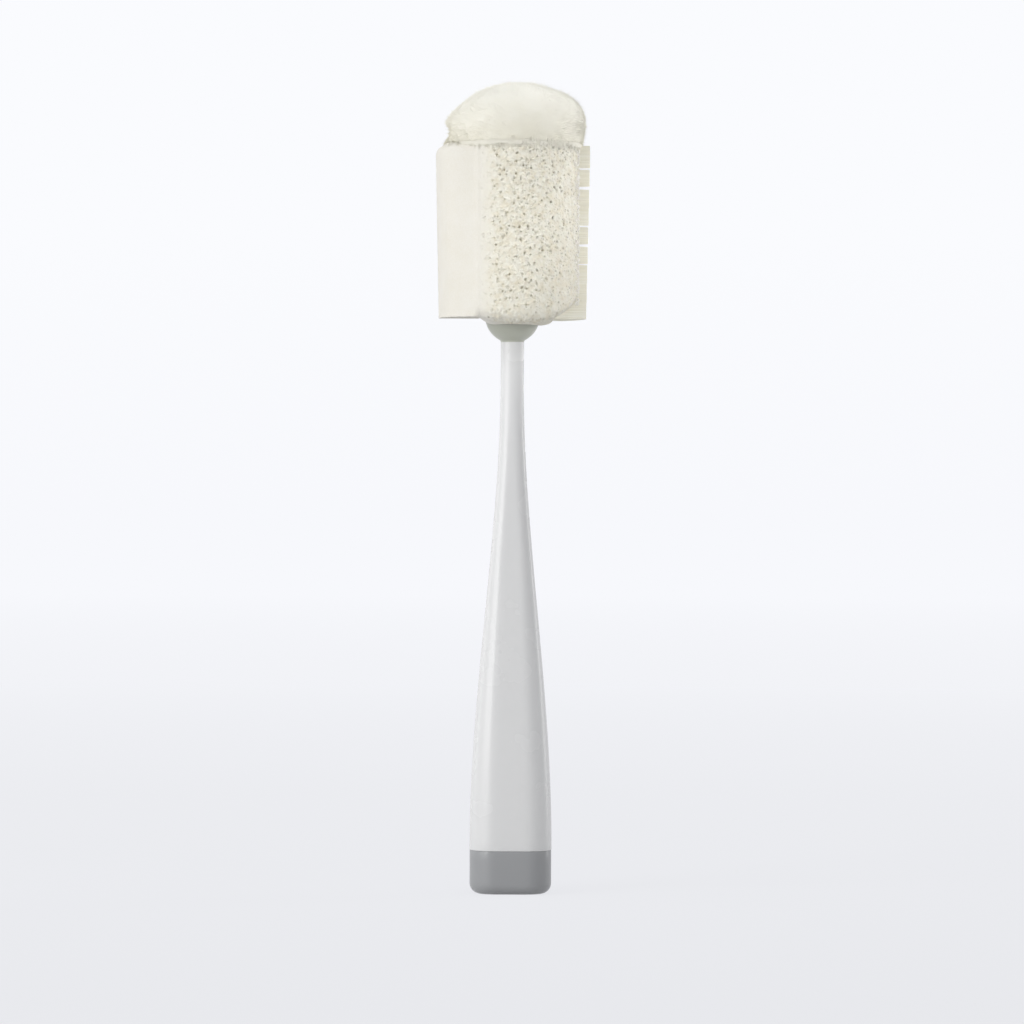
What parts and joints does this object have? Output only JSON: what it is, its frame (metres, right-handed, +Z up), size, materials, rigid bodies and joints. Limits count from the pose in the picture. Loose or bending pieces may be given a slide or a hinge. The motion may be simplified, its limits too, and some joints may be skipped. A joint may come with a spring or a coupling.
{
  "type": "bottle brush",
  "caption": "Long-handled bottle brush with two bristle wings, sponge segments between them, a soft fibre crown and a capped moulded grip.",
  "frame": {"origin": "middle of the end cap's flat bottom, where the brush stands", "axes": "+Z up along the handle to the crown; -Y is the front face of the grip, +X to its right"},
  "size_m": [0.058, 0.0508, 0.3],
  "materials": {
    "handle": "satin",
    "end_cap": "satin",
    "core": "satin",
    "anchor": "satin",
    "sponge": "matte",
    "bristle": "matte",
    "crown": "matte"
  },
  "bodies": {
    "root": {"handle": "handle", "end_cap": "end_cap", "head_core": "core", "tuft_anchors": "anchor", "sponge_front": "sponge", "sponge_back": "sponge", "wing_right_1a": "bristle", "wing_right_1b": "bristle", "wing_right_2a": "bristle", "wing_right_2b": "bristle", "wing_right_3a": "bristle", "wing_right_3b": "bristle", "wing_right_4a": "bristle", "wing_right_4b": "bristle", "wing_right_5a": "bristle", "wing_right_5b": "bristle", "wing_right_6a": "bristle", "wing_right_6b": "bristle", "wing_right_7a": "bristle", "wing_right_7b": "bristle", "wing_right_8a": "bristle", "wing_right_8b": "bristle", "wing_right_9a": "bristle", "wing_right_9b": "bristle", "wing_left_1a": "bristle", "wing_left_1b": "bristle", "wing_left_2a": "bristle", "wing_left_2b": "bristle", "wing_left_3a": "bristle", "wing_left_3b": "bristle", "wing_left_4a": "bristle", "wing_left_4b": "bristle", "wing_left_5a": "bristle", "wing_left_5b": "bristle", "wing_left_6a": "bristle", "wing_left_6b": "bristle", "wing_left_7a": "bristle", "wing_left_7b": "bristle", "wing_left_8a": "bristle", "wing_left_8b": "bristle", "wing_left_9a": "bristle", "wing_left_9b": "bristle", "crown_outer_1": "crown", "crown_outer_2": "crown", "crown_outer_3": "crown", "crown_outer_4": "crown", "crown_outer_5": "crown", "crown_outer_6": "crown", "crown_outer_7": "crown", "crown_outer_8": "crown", "crown_outer_9": "crown", "crown_outer_10": "crown", "crown_inner_1": "crown", "crown_inner_2": "crown", "crown_inner_3": "crown", "crown_inner_4": "crown", "crown_inner_5": "crown", "crown_tip": "crown"}
  },
  "joints": []
}
